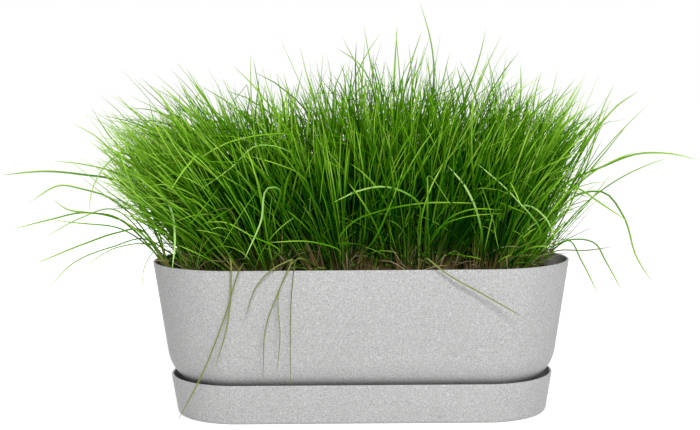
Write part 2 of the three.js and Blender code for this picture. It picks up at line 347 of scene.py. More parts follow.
def grass_material():
    """Blades that are straw at the foot and green above, all by the place along a blade and its tone.

    The lowest tones are dead straw, the next dull olive and the highest carry a painted highlight,
    a pale sheen for the light that blades catch. The greens are painted darker low down a blade, for
    the shade deep in the mass, and lighter at its tip, for the light on it. How far the straw
    reaches up a live blade changes with its tone.
    """
    material, tree, shader = new_material("grass_blades", roughness=0.6, specular=0.05)
    along = add_node(tree, "ShaderNodeAttribute", attribute_name="along").outputs["Fac"]
    tone = add_node(tree, "ShaderNodeAttribute", attribute_name="tone").outputs["Fac"]
    # Each green is painted darker low down a blade and lighter at its tip: painted shade deep in the mass
    # and painted light on the tips
    dark = colour_ramp(
        tree,
        along,
        [
            (0.0, (0.003, 0.019, 0.0)),
            (0.5, (0.002, 0.036, 0.0)),
            (0.78, (0.015, 0.100, 0.0)),
            (1.0, (0.070, 0.270, 0.001)),
        ],
    )
    middling = colour_ramp(
        tree,
        along,
        [(0.0, (0.016, 0.065, 0.0)), (0.6, (0.010, 0.100, 0.0)), (1.0, (0.230, 0.560, 0.010))],
    )
    light = colour_ramp(
        tree,
        along,
        [(0.0, (0.180, 0.340, 0.030)), (0.6, (0.120, 0.380, 0.002)), (1.0, (0.560, 0.880, 0.120))],
    )
    straw = colour_ramp(
        tree,
        along,
        [(0.0, (0.13, 0.085, 0.045)), (0.5, (0.36, 0.28, 0.15)), (1.0, (0.46, 0.37, 0.22))],
    )
    dull = colour_ramp(
        tree,
        along,
        [(0.0, (0.03, 0.09, 0.002)), (0.2, (0.07, 0.12, 0.010)), (0.35, (0.24, 0.29, 0.08))],
    )
    # Painted highlight: a pale sheen near the tip for the light that blades catch, taken by the highest
    # tones
    painted_highlight = colour_ramp(
        tree,
        along,
        [(0.0, (0.03, 0.10, 0.002)), (0.5, (0.06, 0.22, 0.004)), (0.7, (0.54, 0.86, 0.28))],
    )
    chance = add_node(
        tree, "ShaderNodeTexNoise", {"W": scaled(tree, tone, 37.0), "Scale": 1.0}, noise_dimensions="1D"
    )
    foot_colour = mixed(tree, chance.outputs["Fac"], (0.48, 0.230, 0.130), (0.28, 0.32, 0.10))
    reach = add_node(
        tree,
        "ShaderNodeMapRange",
        {"Value": chance.outputs["Fac"], "From Min": 0.35, "From Max": 0.65, "To Min": 0.36, "To Max": 0.10},
    )
    foot = add_node(
        tree,
        "ShaderNodeMapRange",
        {"Value": along, "From Min": 0.0, "From Max": reach.outputs["Result"], "To Min": 1.0, "To Max": 0.0},
        interpolation_type="SMOOTHSTEP",
    )
    some = add_node(tree, "ShaderNodeMapRange", {"Value": tone, "From Min": 0.1, "From Max": 0.5})
    more = add_node(tree, "ShaderNodeMapRange", {"Value": tone, "From Min": 0.4, "From Max": 0.9})
    green = mixed(tree, some.outputs["Result"], dark, middling)
    green = mixed(tree, more.outputs["Result"], green, light)
    green = mixed(tree, foot.outputs["Result"], green, foot_colour)
    # The highest tones take the painted highlight
    pale = add_node(tree, "ShaderNodeMapRange", {"Value": tone, "From Min": 0.9, "From Max": 1.0})
    green = mixed(tree, scaled(tree, pale.outputs["Result"], 0.85), green, painted_highlight)
    dying = add_node(tree, "ShaderNodeMapRange", {"Value": tone, "From Min": 0.06, "From Max": 0.07})
    live = add_node(tree, "ShaderNodeMapRange", {"Value": tone, "From Min": 0.09, "From Max": 0.10})
    dry = mixed(tree, dying.outputs["Result"], straw, dull)
    tree.links.new(mixed(tree, live.outputs["Result"], dry, green), shader.inputs["Base Color"])
    return material


# Pot and saucer


def wall_inset(rim_inset, top_level, draft, depth, level):
    """The inset, at a level, of a drafted wall's skin `depth` inside the outline of its rim."""
    return rim_inset + math.tan(draft) * (top_level - level) + depth / math.cos(draft)


def pot_skin(depth, level):
    return wall_inset(0, rim_level - lip_radius, pot_draft, depth, level)


def saucer_skin(depth, level):
    return wall_inset(saucer_inset, saucer_high.z - lip_radius, saucer_draft, depth, level)


def arc(centre, radius, start, end, steps):
    """Points of a section's arc, by angles below the level line from its centre outwards."""
    return [
        (centre[0] - radius * math.cos(angle), centre[1] - radius * math.sin(angle))
        for angle in np.linspace(start, end, steps + 1)
    ]


def lip(skin, wall, level):
    """The rounded edge of a rim, from the outer skin over to the inner one."""
    centre = level - lip_radius
    outer = arc((skin(0, centre) + lip_radius, centre), lip_radius, 0, -math.pi / 2, 5)
    inner_centre = (skin(wall, centre) - lip_radius, centre)
    inner = arc(inner_centre, lip_radius, -math.pi / 2, -math.pi, 5)
    return outer + inner


def pot_section(depth, floor):
    """The pot's section `depth` inside its outer skin, from its foot up to the drafted wall."""
    centre = (pot_skin(belly_radius, pot_low.z + belly_centre_height), pot_low.z + belly_centre_height)
    radius = belly_radius - depth
    start = math.acos((centre[0] - plinth_inset - depth) / radius)
    belly = arc(centre, radius, start, pot_draft, 22)
    foot = plinth_inset + depth + math.tan(plinth_draft) * (belly[0][1] - floor)
    return [(foot + plinth_edge, floor), (foot, floor + plinth_edge), *belly]


def rib_places():
    pitch = 2 * (half_length - rib_end_margin) / (rib_count - 1)
    return [(i - (rib_count - 1) / 2) * pitch for i in range(rib_count)]


def round_post(x, radius, low, high, sides=40):
    """An upright cylinder at x on the trough's middle line."""
    turn = np.linspace(0, 2 * math.pi, sides, endpoint=False)
    ring = np.column_stack([x + radius * np.cos(turn), radius * np.sin(turn)])
    rings = [np.column_stack([ring, np.full(sides, level)]) for level in (low, high)]
    return np.vstack(rings), skin_faces(2, sides)


def make_pot(material):
    inside = pot_low.z + pot_floor
    profile = [
        *pot_section(0, pot_low.z),
        *lip(pot_skin, pot_wall, rim_level),
        *reversed(pot_section(pot_wall, inside)),
    ]
    pot = lofted("pot_shell", profile)
    ribs = rib_places()
    drains = [
        round_post((left + right) / 2, drain_radius, pot_low.z - pot_floor, inside + pot_floor)
        for left, right in zip(ribs[::2], ribs[1::2])
    ]
    combine(pot, "DIFFERENCE", *join_meshes(drains))
    smooth(pot, 35)
    finish_piece(pot, material, "speckled_plastic", "pot", "pot")


def saucer_foot(depth, floor):
    """The rounded foot of the saucer's section, tangent to its floor and its drafted wall."""
    level = floor + saucer_edge_radius
    centre = (saucer_skin(depth + saucer_edge_radius, level), level)
    return arc(centre, saucer_edge_radius, math.pi / 2, saucer_draft, 10)


def rib(x, half_span):
    """A cross rib with round ends and eased top edges, rooted in the saucer's floor."""
    top = saucer_floor + rib_height
    ease = 0.0008
    section = [(0, saucer_floor / 2), (0, top - ease), (ease * 0.3, top - ease * 0.3), (ease, top)]
    rings = []
    for inset, level in section:
        radius = rib_width / 2 - inset
        turn = np.linspace(0, math.pi, 13)
        end = np.column_stack([radius * np.cos(turn), half_span - rib_width / 2 + radius * np.sin(turn)])
        plan = np.vstack([end, -end]) + (x, 0)
        rings.append(np.column_stack([plan, np.full(len(plan), level)]))
    return np.vstack(rings), skin_faces(len(rings), len(rings[0]))


def make_saucer(material):
    profile = [
        *saucer_foot(0, 0),
        *lip(saucer_skin, saucer_wall, saucer_high.z),
        *reversed(saucer_foot(saucer_wall, saucer_floor)),
    ]
    saucer = lofted("saucer_shell", profile)
    half_span = half_width - pot_section(0, pot_low.z)[0][0] - rib_side_margin
    combine(saucer, "UNION", *join_meshes([rib(x, half_span) for x in rib_places()]))
    smooth(saucer, 35)
    finish_piece(saucer, material, "speckled_plastic", "saucer", "saucer")


# Soil


def plant_centre(node):
    """A plant's axis, from the middle of the lowest points of its CAD solid: its root ball's foot."""
    points = np.array([vertex.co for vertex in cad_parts[node].data.vertices])
    foot = points[points[:, 2] < points[:, 2].min() + 0.001]
    return (foot.min(axis=0) + foot.max(axis=0))[:2] / 2


plants = [plant_centre(node) for node in plant_nodes]


def ramp_share(value, low, high):
    """0 below `low`, 1 above `high` and an even change between them."""
    return np.clip((value - low) / (high - low), 0, 1)


def inset_at(x, y):
    """How far a place lies inside the rim's outline in plan; outside it this is below zero."""
    beyond = np.maximum(np.abs(x) - end_centre, 0)
    return half_width - np.hypot(beyond, y)


def soil_height(x, y):
    """The soil's surface: lumpy, level round the plants and lower along the wall."""
    nearest = min(math.hypot(x - px, y - py) for px, py in plants)
    lumps = noise.noise(Vector((x * 28, y * 28, 0.5))) + 0.6 * noise.noise(Vector((x * 75, y * 75, 2.5)))
    edge = pot_skin(pot_wall + soil_gap, soil_level - soil_edge_drop)
    share = ramp_share(inset_at(x, y), edge, edge + soil_edge_width)
    drop = soil_edge_drop * (1 - share)
    rough = ramp_share(nearest, crown_radius, crown_radius + 0.01)
    return soil_level - drop + rough * (0.0018 * lumps - 0.0008)


def root_ball_rings(centre, grow, top):
    """A body turned about a plant's axis: its root ball, `grow` larger all round, under `top`."""
    foot = soil_level - root_ball_depth - grow
    profile = [(root_ball_foot_radius + grow, foot), *top]
    turn = np.linspace(0, 2 * math.pi, 40, endpoint=False)
    rings = []
    for radius, level in profile:
        x = centre[0] + radius * np.cos(turn)
        y = centre[1] + radius * np.sin(turn)
        rings.append(np.column_stack([x, y, np.full(len(turn), level)]))
    return rings


def make_soil(material):
    end_steps = 64
    side_steps = 58
    depth = pot_wall + soil_gap
    edge_level = soil_level - soil_edge_drop
    edge_inset = pot_skin(depth, edge_level)
    section = pot_section(depth, pot_low.z + pot_floor + soil_gap)
    section += [(edge_inset, edge_level)]
    section += [(inset, soil_level) for inset in np.linspace(edge_inset + 0.005, 0.121, 20)]
    rings = [stadium(inset, level, end_steps, side_steps) for inset, level in section]
    for ring in rings[-20:]:
        ring[:, 2] = [soil_height(x, y) for x, y in ring[:, :2]]
    soil = new_object("soil_block", np.vstack(rings), skin_faces(len(rings), len(rings[0])))
    pockets = []
    mouth = root_ball_radius + soil_gap
    for centre in plants:
        pocket = root_ball_rings(centre, soil_gap, [(mouth, soil_level), (mouth, rim_level)])
        pockets.append((np.vstack(pocket), skin_faces(len(pocket), len(pocket[0]))))
    combine(soil, "DIFFERENCE", *join_meshes(pockets))
    smooth(soil, 50)
    finish_piece(soil, material, "potting_soil", "planting", "soil")


def unit_ball():
    """A ball of 42 points, from an icosphere."""
    bpy.ops.mesh.primitive_ico_sphere_add(subdivisions=2, radius=1)
    ball = bpy.context.object
    points = np.array([vertex.co for vertex in ball.data.vertices])
    faces = [tuple(polygon.vertices) for polygon in ball.data.polygons]
    bpy.data.objects.remove(ball)
    return points, faces


def make_crumbs(material, count=1300):
    """Bark chips and lumps of peat that lie loose on the soil."""
    random = np.random.default_rng(11)
    ball, ball_faces = unit_ball()
    parts = []
    tones = []
    while len(parts) < count:
        size = random.uniform(0.0015, 0.0045) * random.choice([0.6, 1.0, 1.5], p=[0.5, 0.4, 0.1])
        x = random.uniform(-half_length, half_length)
        y = random.uniform(-half_width, half_width)
        away = min(math.hypot(x - px, y - py) for px, py in plants)
        if inset_at(x, y) < 0.008 + 1.6 * size or away < 0.8 * crown_radius:
            continue
        stretch = size * random.uniform([1.0, 0.6, 0.35], [1.6, 1.0, 0.7])
        lumps = 1 + 0.25 * random.standard_normal((len(ball), 1)).clip(-1, 1)
        turn = Euler(random.uniform([-0.5, -0.5, 0], [0.5, 0.5, 6.28])).to_matrix()
        points = (ball * lumps * stretch) @ np.array(turn).T
        parts.append((points + (x, y, soil_height(x, y) + 0.3 * size), ball_faces))
        tones += [random.beta(1.3, 2.6)] * len(ball)
    crumbs = new_object("soil_crumbs", *join_meshes(parts))
    set_attribute(crumbs, "tone", tones)
    smooth(crumbs, 60)
    finish_piece(crumbs, material, "potting_soil", "planting")


def set_attribute(obj, name, values):
    attribute = obj.data.attributes.new(name, "FLOAT", "POINT")
    attribute.data.foreach_set("value", np.asarray(values, dtype=np.float32))


def make_root_ball(number, centre, material):
    """A plant's root ball under its matted crown."""
    base = soil_level + soil_gap
    crown = [
        (crown_radius * math.cos(angle), base + crown_height * math.sin(angle))
        for angle in np.linspace(0, 1.35, 8)
    ]
    side = [
        (radius, level)
        for radius, level in zip(
            np.linspace(root_ball_foot_radius, root_ball_radius, 7)[1:],
            np.linspace(soil_level - root_ball_depth, base, 7)[1:],
        )
    ]
    rings = root_ball_rings(centre, 0, [*side, *crown])
    axis = np.array([*centre, 0])
    for ring in rings:
        for point in ring:
            shrink = 0.08 * abs(noise.noise(Vector(point * 90)))
            point[:2] = axis[:2] + (point[:2] - axis[:2]) * (1 - shrink)
            if point[2] > base + 0.001:
                point[2] += 0.004 * noise.noise(Vector(point * 130))
    ball = new_object(
        f"root_ball_{number:02d}", np.vstack(rings), skin_faces(len(rings), len(rings[0]))
    )
    smooth(ball, 60)
    finish_piece(ball, material, "grass", "planting")


# Grass


def normalised(vectors):
    return vectors / np.maximum(np.linalg.norm(vectors, axis=-1, keepdims=True), 1e-9)


def tilted(tilt):
    """Unit directions that lean from upright by a tilt, an (x, y) pair of angles."""
    angle = np.linalg.norm(tilt, axis=-1, keepdims=True)
    side = tilt / np.maximum(angle, 1e-9)
    return np.concatenate([side * np.sin(angle), np.cos(angle)], axis=-1)


def strand_mesh(paths, width, roll, twist):
    """Closed three-sided strands along paths, and each point's share of the way along its strand."""
    segments = paths.shape[1] - 1
    shares = np.append(np.arange(segments), (segments - 1 + tip_share, segments)) / segments
    last_ring = paths[:, -2:-1] + tip_share * (paths[:, -1:] - paths[:, -2:-1])
    paths = np.concatenate([paths[:, :-1], last_ring, paths[:, -1:]], axis=1)
    count, path_points, _ = paths.shape
    rings = path_points - 1
    tangents = normalised(np.gradient(paths, axis=1))
    side = normalised(np.cross(tangents[:, 0], (0.0, 1.0, 0.0)))
    side = side * np.cos(roll)[:, None] + np.cross(tangents[:, 0], side) * np.sin(roll)[:, None]
    corners = []
    for ring in range(rings):
        share = shares[ring]
        tangent = tangents[:, ring]
        side = normalised(side - tangent * np.sum(side * tangent, axis=1, keepdims=True))
        turn = (twist * share)[:, None]
        across = side * np.cos(turn) + np.cross(tangent, side) * np.sin(turn)
        swell = 0.6 + 0.4 * min(1.0, share / 0.18)
        reach = (width * swell * (1 - share**blade_taper) / 2)[:, None]
        back = np.cross(tangent, across) * 2 * reach * blade_keel
        centre = paths[:, ring]
        corners += [centre - across * reach, centre + across * reach, centre + back]
    corners.append(paths[:, rings])
    points = np.stack(corners, axis=1)
    per_strand = points.shape[1]
    faces = [(2, 1, 0)]
    for ring in range(rings - 1):
        for i in range(3):
            a = 3 * ring + i
            b = 3 * ring + (i + 1) % 3
            faces.append((a, b, b + 3, a + 3))
    last = 3 * (rings - 1)
    faces += [(last + i, last + (i + 1) % 3, per_strand - 1) for i in range(3)]
    all_faces = [
        tuple(strand * per_strand + i for i in face) for strand in range(count) for face in faces
    ]
    along = np.append(np.repeat(shares[:rings], 3), 1.0)
    return points.reshape(-1, 3), all_faces, np.tile(along, count), per_strand


def clear_of_pot(paths):
    """Which strands keep off the pot's rim and wall, the soil, and the edge of the model's box."""
    finer = 4
    first, second = paths[:, :-1], paths[:, 1:]
    steps = [first + (second - first) * i / finer for i in range(finer)]
    points = np.concatenate([np.stack(steps, axis=2).reshape(len(paths), -1, 3), paths[:, -1:]], axis=1)
    inset = inset_at(points[..., 0], points[..., 1])
    level = points[..., 2]
    over_rim = (inset < 0.0095) & (level < rim_level + 0.003)
    grown = np.arange(points.shape[1]) > 2 * finer
    in_soil = (inset >= 0.0095) & (level < soil_level + 0.0015) & grown
    low, high = cad_bounds
    beyond = np.any((points < np.array(low)) | (points > np.array(high)), axis=-1)
    return ~np.any(over_rim | in_soil | beyond, axis=1)


# The mass's outline, read to 5 mm from a metre grid drawn over the photograph, on the trough's
# middle plane: (x, z) along the top, and (z, x) up each side
canopy_top = [(-0.380, 0.435), (-0.320, 0.465), (-0.250, 0.485), (-0.090, 0.495), (-0.020, 0.515),
              (0.100, 0.515), (0.230, 0.490), (0.290, 0.470), (0.390, 0.430)]
canopy_left = [(0.220, -0.275), (0.250, -0.305), (0.290, -0.345), (0.350, -0.380), (0.425, -0.385)]
canopy_right = [(0.235, 0.275), (0.300, 0.315), (0.370, 0.330), (0.435, 0.370)]
canopy_fall = [(0.08, 0.0), (0.12, 0.012), (0.18, 0.08)]  # how far it draws in, by the depth either way


def beyond_canopy(paths):
    """How far each path passes the mass's outline, as the camera sees it."""
    nearer = camera_distance / (camera_distance + paths[..., 1])
    x = paths[..., 0] * nearer
    z = camera_height + (paths[..., 2] - camera_height) * nearer
    over = z - np.interp(x, *zip(*canopy_top))
    left = np.interp(z, *zip(*canopy_left)) - x
    right = x - np.interp(z, *zip(*canopy_right))
    fall = np.interp(np.abs(paths[..., 1]), *zip(*canopy_fall))
    return np.max(np.maximum(over, np.maximum(left, right)) + fall, axis=1)


def fit_to_canopy(paths, slack):
    """Shortens blades that pass the mass's outline by more than their slack, and tells which then fit."""
    for _ in range(5):
        over = beyond_canopy(paths) > slack
        root = paths[over, :1]
        paths[over] = root + 0.9 * (paths[over] - root)
    return paths, beyond_canopy(paths) <= slack


def lean_at(x, y):
    """The angles by which blades lean out at a root, in radians."""
    left = 40 * (np.abs(x) / 0.25) ** 0.8
    right = 27 * (np.abs(x) / 0.25) ** 1.4
    side = np.where(x < 0, -left, right)
    deep = 17 * y / 0.08
    return np.radians(np.column_stack([side, deep]))


def spread(random, degrees, shape):
    return np.radians(degrees) * random.standard_normal(shape)


def grown_paths(root, tilt, height):
    """Paths from roots that follow a tilt along each blade and climb to a height above the soil."""
    path = np.cumsum(tilted(tilt), axis=1)
    path = np.concatenate([np.zeros((len(root), 1, 3)), path], axis=1)
    longest = np.minimum(longest_blade, longest_to_height * height) / blade_segments
    step = np.minimum((height + root_depth) / np.maximum(path[..., 2].max(axis=1), 1), longest)
    start = np.column_stack([root, np.full(len(root), soil_level - root_depth)])
    return start[:, None] + path * step[:, None, None]


def blade_paths(random, centre, count):
    """Paths of a plant's blades, which grow in tillers and lean out towards the pot's edges."""
    reach = tiller_reach * np.sqrt(random.random(tillers_per_plant))
    turn = random.uniform(0, 2 * math.pi, tillers_per_plant)
    tillers = np.column_stack([reach * np.cos(turn), reach * np.sin(turn)])
    tiller_tilt = spread(random, 8, (tillers_per_plant, 2))
    tiller_bend = spread(random, 15, (tillers_per_plant, 2))
    tiller_tone = random.beta(0.9, 3.0, tillers_per_plant)
    tiller_vigour = random.normal(1, 0.16, tillers_per_plant)
    clump = [0.05 * noise.noise(Vector((*(24 * (centre + place)), 4.5))) for place in tillers]
    own = random.integers(0, tillers_per_plant, count)
    offset = tillers[own] + 0.0020 * random.standard_normal((count, 2))
    root = centre + offset
    lean = lean_at(root[:, 0], root[:, 1])
    start = lean + np.radians(12) * offset / tiller_reach + tiller_tilt[own] + spread(random, 5, (count, 2))
    bend = 0.5 * lean + tiller_bend[own] + spread(random, 12, (count, 2))
    out = normalised(start)
    droops = random.random(count) < 0.12
    aside = normalised(out + random.normal((0.0, -0.3), 0.8, (count, 2)))
    bend += aside * (droops * np.radians(random.uniform(35, 90, count)))[:, None]
    kinks = random.random(count) < 0.03
    kink_place = random.uniform(0.5, 0.8, count)
    kink_turn = np.radians(random.uniform(60, 130, count))
    middle = (np.arange(blade_segments) + 0.5) / blade_segments
    tilt = start[:, None] + bend[:, None] * middle[None, :, None] ** 1.5
    wave = np.sin(2 * math.pi * (0.8 * middle[None, :] + random.random((count, 1))))
    tilt += np.radians(5) * wave[..., None] * normalised(random.standard_normal((count, 1, 2)))
    kinked = kinks[:, None] & (middle[None, :] > kink_place[:, None])
    tilt += out[:, None] * (kinked * kink_turn[:, None])[..., None]
    height = np.clip(random.normal(0.220, 0.065, count) * tiller_vigour[own], 0.05, 0.35)
    slack = (np.array(clump) + random.normal(-0.018, 0.017, tillers_per_plant))[own]
    slack += random.exponential(0.016, count) - end_thinning * ramp_share(np.abs(root[:, 0]), 0.10, 0.20)
    paths, fits = fit_to_canopy(grown_paths(root, tilt, height), slack)
    tone = tiller_tone[own] + 0.15 * random.standard_normal(count)
    # Painted light: blades rooted towards the left and right ends get higher tones, for the light that
    # reaches them where the mass shades them less
    tone += left_painted_light * ramp_share(-root[:, 0], 0.05, 0.25)
    tone += right_painted_light * ramp_share(root[:, 0], 0.20, 0.26)
    # Painted light: blades at the mass's outline get higher tones, for the light that falls on them there
    tone += edge_painted_light * ramp_share(beyond_canopy(paths), -0.04, 0.01)
    return paths[fits], np.clip(tone, 0.1, 0.92)[fits]


def thin_paths(random, centre, count, start_spread, bend_spread, low, high):
    """Paths of thin stems that grow every way round a plant's foot."""
    reach = (crown_radius + 0.012) * np.sqrt(random.random(count))
    turn = random.uniform(0, 2 * math.pi, count)
    root = centre + np.column_stack([reach * np.cos(turn), reach * np.sin(turn)])
    start = 0.6 * lean_at(root[:, 0], root[:, 1]) + spread(random, start_spread, (count, 2))
    bend = spread(random, bend_spread, (count, 2))
    middle = (np.arange(blade_segments) + 0.5) / blade_segments
    tilt = start[:, None] + bend[:, None] * middle[None, :, None]
    return grown_paths(root, tilt, random.uniform(low, high, count))


